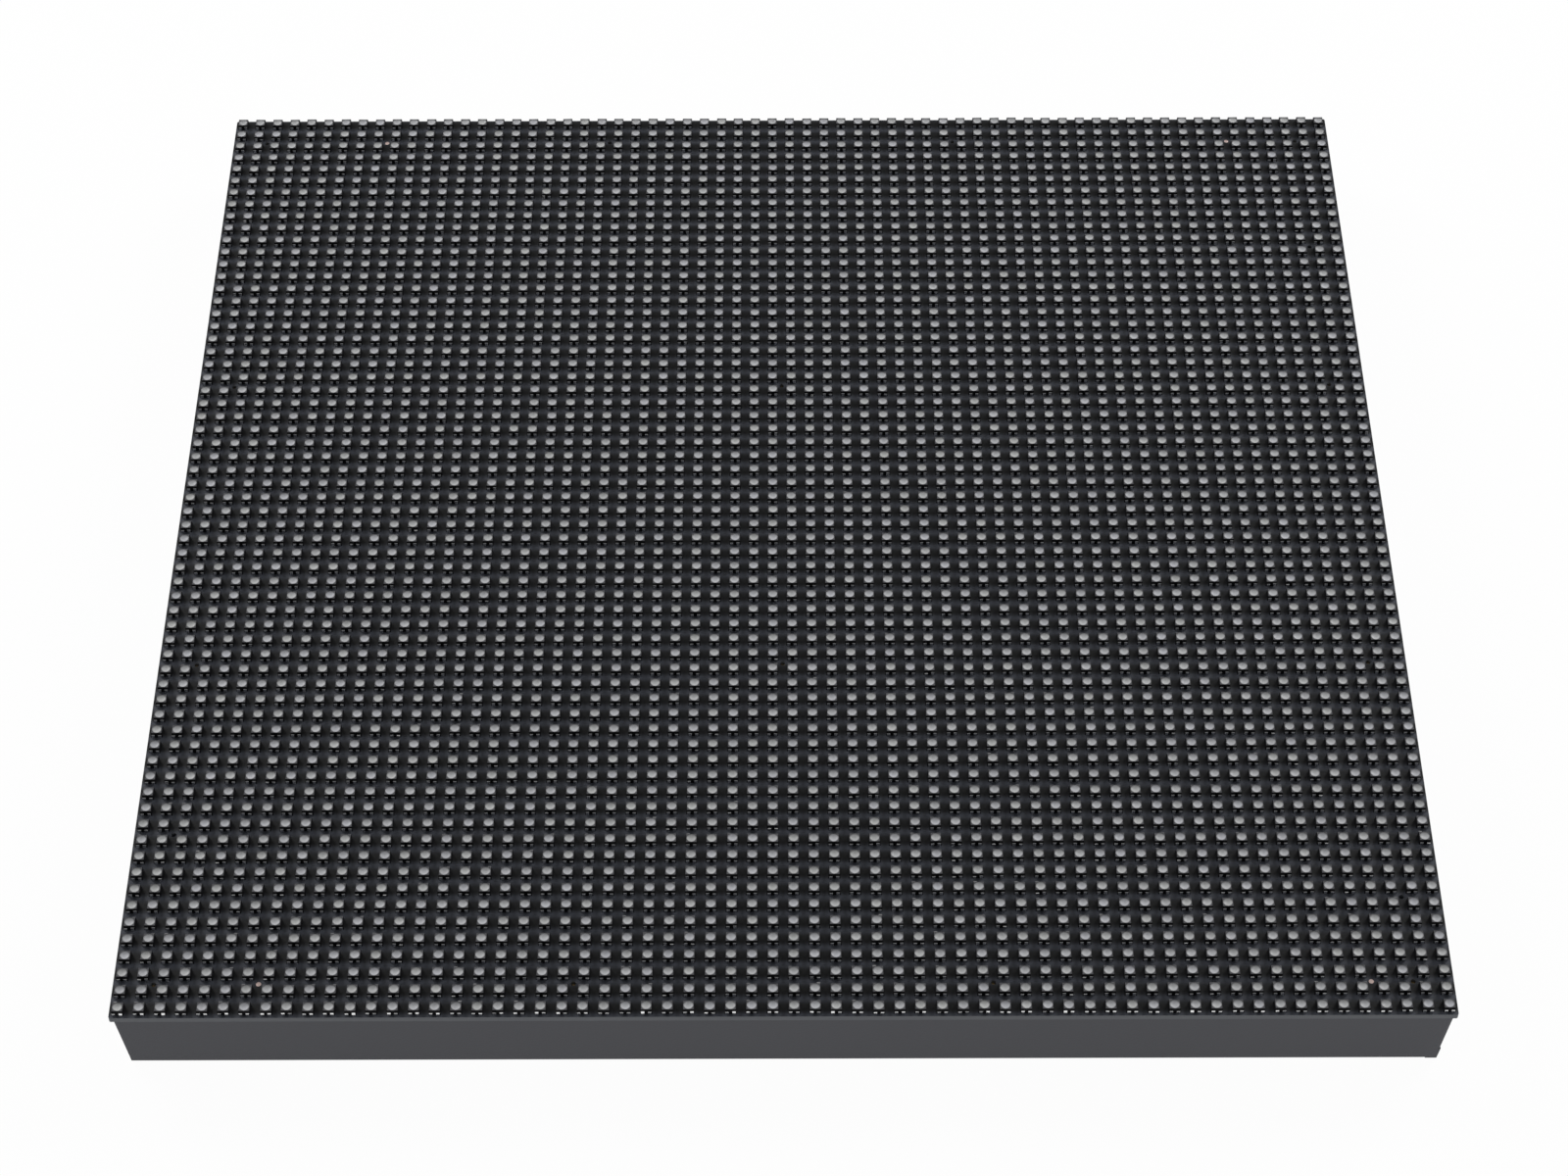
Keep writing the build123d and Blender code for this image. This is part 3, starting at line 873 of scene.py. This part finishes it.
# %% [markdown]
# ## Patterns that several finishes share
# A few small patterns come back in one finish after another: a fine grain, a choice by which way
# a face looks, and a mix of two colours. Each is a function, so that a finish reads as a short list.

# %% Shared patterns
def grain(material, size, depth, roughness_spread=0.0):
    """A fine moulded or matt grain: bump, and a little change of roughness."""
    place = node(material, "TexCoord")
    noise = node(material, "TexNoise", Scale=1 / (size * MM), Detail=2.0)
    bump = node(material, "Bump", Distance=depth * MM, Strength=1.0)
    link(material, place.outputs["Object"], noise.inputs["Vector"])
    link(material, noise.outputs["Fac"], bump.inputs["Height"])
    link(material, bump.outputs["Normal"], shader_of(material).inputs["Normal"])
    if roughness_spread:
        base = shader_of(material).inputs["Roughness"].default_value
        spread_map = node(material, "MapRange")
        spread_map.inputs["To Min"].default_value = base - roughness_spread
        spread_map.inputs["To Max"].default_value = base + roughness_spread
        link(material, noise.outputs["Fac"], spread_map.inputs["Value"])
        link(material, spread_map.outputs[0], shader_of(material).inputs["Roughness"])


def upward(material):
    """How far a face looks up, from 1 for level through 0 for upright to -1 for upside down."""
    surface = node(material, "NewGeometry")
    facing = node(material, "SeparateXYZ")
    link(material, surface.outputs["True Normal"], facing.inputs[0])
    return facing.outputs["Z"]


def passes(material, value, operation, limit):
    """1 where a value passes its limit, and 0 elsewhere."""
    test = node(material, "Math", operation=operation)
    test.inputs[1].default_value = limit
    link(material, value, test.inputs[0])
    return test.outputs[0]


def mixed(material, share, first, second):
    """From the first colour to the second by a share. A colour is plain or a node's output."""
    blend = node(material, "Mix", data_type="RGBA")
    link(material, share, blend.inputs["Factor"])
    for name, colour in (("A", first), ("B", second)):
        if isinstance(colour, bpy.types.NodeSocket):
            link(material, colour, blend.inputs[name])
        else:
            blend.inputs[name].default_value = colour
    return blend.outputs["Result"]


def wear(node_name, material):
    """Gives a node of the frame its finish."""
    slots = nodes[node_name].material_slots
    if not slots:
        nodes[node_name].data.materials.append(material)
    for slot in slots:
        slot.material = material


print("pattern helpers ready")

# %% [markdown]
# ## LED housings
# The housings are matt black epoxy. Their flat tops are roughened, which makes them a dark grey,
# so that they don't shine beside the lit windows. That grey is partly the roughening and partly
# painted light, for the tops face the lamps while the walls stand in the shade of the next LEDs. Two
# materials would need the faces sorted, and one that asks which way a face looks does it for all 4096.

# %% Housing finish
# the tops' grey is partly roughened epoxy and partly painted light
TOP_GREY_AND_LIGHT = (0.082, 0.082, 0.088)
led_black = finish("led_black", (0.004, 0.004, 0.005), roughness=0.6, specular=0.09)
grain(led_black, size=0.25, depth=0.01)


def matt_and_lit_top(material, colour):
    """The flat top is roughened and takes painted light, so it is greyer than the moulded walls."""
    is_lit_top = passes(material, upward(material), "GREATER_THAN", FACING)
    walls = shader_of(material).inputs["Base Color"]
    link(material, mixed(material, is_lit_top, walls.default_value, (*colour, 1)), walls)


matt_and_lit_top(led_black, TOP_GREY_AND_LIGHT)
for piece in housings:
    piece.data.materials.append(led_black)
print("housings finished", len(housings))

# %% [markdown]
# ## LED windows
# The windows are grey diffusing resin. One flat colour would make 4096 equal discs, so the resin
# darkens towards the rim, partly where it thins over the black wall and partly as painted shade of
# the cup's edge, and each LED has its own shade and tint.

# %% Window finish
# the darkening towards the rim is partly thin resin over the black wall and partly painted shade
RIM_SHADE_START = 0.60  # from here outwards the resin thins over the black wall
RIM_SHADE_SHARE = 0.45  # what is left of its tone at the rim
SHADE = 0.07  # a window is up to this share lighter or darker than the usual one
TINT = 0.035  # a window is up to this share bluer or yellower than the usual one
led_milk = finish("led_milk", (0.411, 0.416, 0.428), roughness=0.45, specular=0.3)


def around_one(material, value, share):
    """Turns a number from 0 to 1 into a factor that lies up to a share below or above 1."""
    factor = node(material, "MapRange")
    factor.inputs["To Min"].default_value = 1 - share
    factor.inputs["To Max"].default_value = 1 + share
    link(material, value, factor.inputs["Value"])
    return factor.outputs[0]


def milk_pattern(material):
    """Thin resin and painted shade darken the window towards the rim, and each LED has its own shade and
    tint.
    """
    face = node(material, "UVMap", uv_map="led_face")
    centre = node(material, "VectorMath", operation="DISTANCE")
    centre.inputs[1].default_value = (MAP_MIDDLE, MAP_MIDDLE, 0)
    link(material, face.outputs["UV"], centre.inputs[0])
    rim = node(material, "MapRange", interpolation_type="SMOOTHSTEP")
    rim.inputs["From Min"].default_value = RIM_SHADE_START / LED_BASE
    rim.inputs["From Max"].default_value = BOWL_RADIUS / LED_BASE
    rim.inputs["To Min"].default_value = 1.0
    rim.inputs["To Max"].default_value = RIM_SHADE_SHARE
    link(material, centre.outputs["Value"], rim.inputs["Value"])
    own = node(material, "Attribute", attribute_name="led_shade")
    numbers = node(material, "SeparateXYZ")
    link(material, own.outputs["Vector"], numbers.inputs[0])
    product = node(material, "Math", operation="MULTIPLY")
    link(material, rim.outputs[0], product.inputs[0])
    link(material, around_one(material, numbers.outputs["X"], SHADE), product.inputs[1])
    colour = node(material, "VectorMath", operation="SCALE")
    colour.inputs[0].default_value = shader_of(material).inputs["Base Color"].default_value[:3]
    link(material, product.outputs[0], colour.inputs["Scale"])
    tint = node(material, "CombineXYZ", X=1.0, Y=1.0)
    link(material, around_one(material, numbers.outputs["Y"], TINT), tint.inputs["Z"])
    tinted = node(material, "VectorMath", operation="MULTIPLY")
    link(material, colour.outputs[0], tinted.inputs[0])
    link(material, tint.outputs[0], tinted.inputs[1])
    link(material, tinted.outputs[0], shader_of(material).inputs["Base Color"])


milk_pattern(led_milk)
for piece in windows:
    piece.data.materials.append(led_milk)
print("windows finished", len(windows))

# %% [markdown]
# ## LED leads and copper dots
# The leads are bright tin. They show mostly by what they mirror, so they are smooth and need no
# grain at this size. The dots are dull bare copper. As a full metal they would turn dark where
# there is nothing bright to mirror, so they are set to half metal.

# %% Lead and dot finish
led_tin = finish("led_tin", (0.86, 0.86, 0.86), roughness=0.18, metallic=1.0)
copper = finish("copper", (0.85, 0.66, 0.61), roughness=0.4, metallic=0.5)
for piece in lead_sets:
    piece.data.materials.append(led_tin)
dots.data.materials.append(copper)
print("leads finished", len(lead_sets))

# %% [markdown]
# ## The moulded frame
# The frame is grey-black plastic from a mould with a fine grain. A scanned grain would need a map
# of the surface, and noise on the object's own place gives it as bump and as a change of gloss.

# %% Frame finish
frame_black = finish("frame_black", (0.0400, 0.0415, 0.0520), roughness=0.42, specular=0.265)
grain(frame_black, size=0.35, depth=0.02, roughness_spread=0.05)
wear("rear_frame", frame_black)
print("frame finished")

# %% [markdown]
# ## Tracks under the board
# Copper tracks show through the mask under the board as lighter lines, with small vias between.
# Modelled, they would be thousands of strips of hardly any height. A brick pattern gives broken
# lines of one width instead. Noise chooses the patches in which they run the other way, as
# tracks do on two sides of a part, and a cell pattern sets the vias.

# %% Track pattern
TRACK_WIDTH = 0.13
TRACK_STEP = 1.1
TRACK_LENGTH = 14.0
TRACK_SOFTNESS = 0.3
TRACK_TONE = 2.0  # tones are shares of the mask's own colour
BARE_TONES = (0.75, 0.85)  # of the laminate between tracks, from one field to the next
PATCH_SIZE = 24.0
PATCH_LIMIT = 0.52  # noise above this turns the tracks
VIA_STEP = 4.0
VIA_SIZE = 0.09
VIA_SCATTER = 0.6
VIA_TONE = (4.0, 3.6, 2.8, 1)


def even(tone):
    """The same tone in red, green and blue."""
    return (tone, tone, tone, 1)


def tracks(material, place):
    """Tone of the lower face: copper tracks under the mask run both ways, with small vias between."""
    tones = []
    for quarter in (0.0, pi / 2):
        turned_place = node(material, "Mapping")
        turned_place.inputs["Rotation"].default_value = (0, 0, quarter)
        turned_place.inputs["Scale"].default_value = (1 / MM, 1 / MM, 1 / MM)
        link(material, place.outputs["Object"], turned_place.inputs["Vector"])
        lines = node(material, "TexBrick", Scale=1.0)
        lines.inputs["Color1"].default_value = even(BARE_TONES[0])
        lines.inputs["Color2"].default_value = even(BARE_TONES[1])
        lines.inputs["Mortar"].default_value = even(TRACK_TONE)
        lines.inputs["Mortar Size"].default_value = TRACK_WIDTH
        lines.inputs["Mortar Smooth"].default_value = TRACK_SOFTNESS
        lines.inputs["Brick Width"].default_value = TRACK_LENGTH
        lines.inputs["Row Height"].default_value = TRACK_STEP
        link(material, turned_place.outputs[0], lines.inputs["Vector"])
        tones.append(lines.outputs["Color"])
    patches = node(material, "TexNoise", Scale=1 / (PATCH_SIZE * MM), Detail=0.0)
    link(material, place.outputs["Object"], patches.inputs["Vector"])
    chosen = passes(material, patches.outputs["Fac"], "GREATER_THAN", PATCH_LIMIT)
    both_ways = mixed(material, chosen, tones[0], tones[1])
    holes = node(material, "TexVoronoi", Scale=1 / (VIA_STEP * MM), Randomness=VIA_SCATTER)
    link(material, place.outputs["Object"], holes.inputs["Vector"])
    is_via = passes(material, holes.outputs["Distance"], "LESS_THAN", VIA_SIZE)
    return mixed(material, is_via, both_ways, VIA_TONE)


print("track pattern ready")

# %% [markdown]
# ## The circuit board
# The upper face is painted lighter in the open bands between the rows of LEDs, where light runs
# along the rows, and painted darker in the gaps between the LEDs of a row, where they shade it: this
# is painted light and shade. The rows stand at even steps, so a cosine along Y gives the bands, and a
# power makes them narrower than the dark between them. The sawn edge has no mask and shows the bare
# laminate.

# %% Board finish
MASK_BLACK = (0.0240, 0.0261, 0.0325)
EDGE_GREY = (0.10, 0.107, 0.118)
# The bands are painted light and shade: lighter between the rows, darker in the shaded gaps between LEDs of
# a row.
LIT_BAND_SHIFT = 0.11  # how far a band's lightest line lies beyond the middle between two rows, in pitches
LIT_BAND_SHARPNESS = 2.3
SHADED_GAP_TONE = 0.08  # darkest tone, as a share of the mask's colour
LIT_BAND_TONE = 2.6  # lightest tone
LEVEL = 0.5  # a face that looks up or down by more than this is no edge
board_black = finish("board_black", MASK_BLACK, roughness=0.39, specular=0.31)
grain(board_black, size=0.6, depth=0.015, roughness_spread=0.04)


def painted_light_bands(material, along):
    """Painted light and shade of the upper face by the place along Y: light bands between rows, dark gaps in
    a row.
    """
    phase = node(material, "Math", operation="MULTIPLY_ADD")
    phase.inputs[1].default_value = 2 * pi / (pitch * MM)
    phase.inputs[2].default_value = -2 * pi * LIT_BAND_SHIFT
    link(material, along, phase.inputs[0])
    wave = node(material, "Math", operation="COSINE")
    link(material, phase.outputs[0], wave.inputs[0])
    crest = node(material, "MapRange")
    crest.inputs["From Min"].default_value = -1
    link(material, wave.outputs[0], crest.inputs["Value"])
    sharp = node(material, "Math", operation="POWER")
    sharp.inputs[1].default_value = LIT_BAND_SHARPNESS
    link(material, crest.outputs[0], sharp.inputs[0])
    tone = node(material, "MapRange")
    tone.inputs["To Min"].default_value = SHADED_GAP_TONE
    tone.inputs["To Max"].default_value = LIT_BAND_TONE
    link(material, sharp.outputs[0], tone.inputs["Value"])
    return tone.outputs[0]


def board_pattern(material):
    """Painted light lightens the bands between the rows, painted shade darkens the gaps in a row, and the
    sawn edge is bare.
    """
    place = node(material, "TexCoord")
    parts = node(material, "SeparateXYZ")
    link(material, place.outputs["Object"], parts.inputs[0])
    facing = upward(material)
    below = passes(material, facing, "LESS_THAN", -LEVEL)
    # the upper face takes the painted light and shade of the bands
    tone = mixed(material, below, painted_light_bands(material, parts.outputs["Y"]), tracks(material, place))
    mask = node(material, "VectorMath", operation="MULTIPLY")
    mask.inputs[0].default_value = MASK_BLACK
    link(material, tone, mask.inputs[1])
    size = node(material, "Math", operation="ABSOLUTE")
    link(material, facing, size.inputs[0])
    flat = passes(material, size.outputs[0], "GREATER_THAN", LEVEL)
    colour = mixed(material, flat, (*EDGE_GREY, 1), mask.outputs[0])
    link(material, colour, shader_of(material).inputs["Base Color"])


board_pattern(board_black)
wear("circuit_board", board_black)
wear("led_rows", board_black)  # these strips are hidden, because the LEDs stand for them
print("board finished")

# %% [markdown]
# ## Metals
# A metal shows by what it mirrors, so its roughness matters more than its colour. The screws are
# dark zinc, the spacers brass, the data pins gold and the power pins and chip leads tin. Threads
# in the inserts and turning marks on the cans are too fine to model, and a wave up their axis
# gives both as rings of bump.

# %% Metal finishes
WAVE_LENGTH = pi / 10  # length of one wave in a wave texture of scale 1
zinc = finish("zinc", (0.26, 0.26, 0.28), roughness=0.34, metallic=1.0)
grain(zinc, size=0.5, depth=0.01, roughness_spread=0.10)
brass = finish("brass", (0.72, 0.52, 0.26), roughness=0.3, metallic=1.0)
grain(brass, size=0.4, depth=0.006, roughness_spread=0.08)
gold = finish("gold", (0.83, 0.62, 0.30), roughness=0.24, metallic=1.0)
grain(gold, size=0.3, depth=0.004, roughness_spread=0.06)
tin = finish("tin", (0.72, 0.72, 0.70), roughness=0.28, metallic=1.0)
grain(tin, size=0.35, depth=0.006, roughness_spread=0.08)
solder = finish("solder", (0.66, 0.66, 0.65), roughness=0.33, metallic=1.0)
grain(solder, size=0.25, depth=0.02, roughness_spread=0.10)
threaded_brass = finish("threaded_brass", (0.70, 0.50, 0.25), roughness=0.3, metallic=1.0)
can_metal = finish("can_metal", (0.74, 0.74, 0.75), roughness=0.32, metallic=1.0)


def rings(material, step, depth):
    """Turned rings up the axis of a round part, as bump."""
    place = node(material, "TexCoord")
    scale = WAVE_LENGTH / (step * MM)
    wave = node(material, "TexWave", bands_direction="Z", wave_profile="TRI", Scale=scale)
    bump = node(material, "Bump", Distance=depth * MM, Strength=1.0)
    link(material, place.outputs["Object"], wave.inputs["Vector"])
    link(material, wave.outputs["Fac"], bump.inputs["Height"])
    link(material, bump.outputs["Normal"], shader_of(material).inputs["Normal"])


rings(threaded_brass, step=0.5, depth=0.25)
rings(can_metal, step=0.12, depth=0.01)
print("metals made")

# %% [markdown]
# ## The black mark on the cans
# A can capacitor has a black segment on its top for its negative side. It could be a thin piece of
# its own, but it is only printed, so the material paints it: the top, past a line beside the axis.
# Print isn't metal, so the segment is set to plain plastic too.

# %% Black segment
SEGMENT_START = 1.7  # from the axis of a can to the edge of the segment
SEGMENT_BLACK = (0.02, 0.02, 0.02, 1)


def black_segment(material, can_centre):
    """Paints the top of each can black, from a line farther out than its axis."""
    place = node(material, "TexCoord")
    parts = node(material, "SeparateXYZ")
    link(material, place.outputs["Object"], parts.inputs[0])
    away = node(material, "Math", operation="ABSOLUTE")
    link(material, parts.outputs["X"], away.inputs[0])
    beyond = passes(material, away.outputs[0], "GREATER_THAN", (can_centre + SEGMENT_START) * MM)
    down = passes(material, upward(material), "LESS_THAN", -FACING)
    both = node(material, "Math", operation="MULTIPLY")
    link(material, beyond, both.inputs[0])
    link(material, down, both.inputs[1])
    bare = shader_of(material).inputs["Base Color"]
    link(material, mixed(material, both.outputs[0], bare.default_value, SEGMENT_BLACK), bare)
    metal = node(material, "Math", operation="SUBTRACT")
    metal.inputs[0].default_value = 1.0
    link(material, both.outputs[0], metal.inputs[1])
    link(material, metal.outputs[0], shader_of(material).inputs["Metallic"])


black_segment(can_metal, max(x for x, y in can_places))
print("cans marked", len(can_places))

# %% [markdown]
# ## Plastics, ceramics and print
# Chips are matt moulding compound, header shrouds glass-filled plastic, the power header natural
# nylon, capacitors tan ceramic and resistors glazed. They differ mostly in gloss and in how fine
# their grain is, so each gets its own of both.

# %% Plastic, ceramic and print finishes
chip_epoxy = finish("chip_epoxy", (0.020, 0.020, 0.021), roughness=0.52)
grain(chip_epoxy, size=0.12, depth=0.012, roughness_spread=0.05)
header_black = finish("header_black", (0.016, 0.016, 0.017), roughness=0.36)
grain(header_black, size=0.45, depth=0.012, roughness_spread=0.08)
base_black = finish("base_black", (0.022, 0.022, 0.022), roughness=0.45)
grain(base_black, size=0.3, depth=0.01, roughness_spread=0.05)
nylon = finish("nylon", (0.70, 0.68, 0.61), roughness=0.38)
grain(nylon, size=0.8, depth=0.01, roughness_spread=0.06)
ceramic = finish("ceramic", (0.36, 0.25, 0.16), roughness=0.42)
grain(ceramic, size=0.2, depth=0.01, roughness_spread=0.08)
glaze = finish("glaze", (0.018, 0.018, 0.020), roughness=0.22)
grain(glaze, size=0.3, depth=0.006, roughness_spread=0.06)
print_white = finish("print_white", (0.62, 0.62, 0.60), roughness=0.6)
grain(print_white, size=0.15, depth=0.01, roughness_spread=0.05)
print("plastics made")

# %% [markdown]
# ## Every part under the board gets its finish
# Nodes of the frame take a material in their own slots. New pieces take it on their mesh.

# %% Finishes under the board
WORN = {
    "solder_spacers": brass,
    "frame_screws": zinc,
    "mount_inserts": threaded_brass,
    "driver_chips": chip_epoxy,
    "row_driver_chips": chip_epoxy,
    "buffer_chips": chip_epoxy,
    "chip_capacitors": ceramic,
    "chip_resistors": glaze,
    "resistor_arrays": glaze,
    "input_header_shroud": header_black,
    "input_header_pins": gold,
    "output_header_shroud": header_black,
    "output_header_pins": gold,
    "power_header_body": nylon,
    "power_header_pins": tin,
    "capacitor_bases": base_black,
    "capacitor_cans": can_metal,
}
for node_name, material in WORN.items():
    wear(node_name, material)
for piece in chip_leads:
    piece.data.materials.append(tin)
for piece in (capacitor_ends, resistor_ends, array_ends, *header_pads, power_pads, can_tabs):
    piece.data.materials.append(solder)
for piece in (driver_print, row_driver_print, buffer_print, small_print, pin_dots):
    piece.data.materials.append(print_white)
print("nodes finished", len(WORN))

# %% [markdown]
# ## The last step
# The model should fill the same box as the frame, and its size is printed.

# %% Finish
low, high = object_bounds()
print("size in mm", [round(1000 * side, 2) for side in high - low])
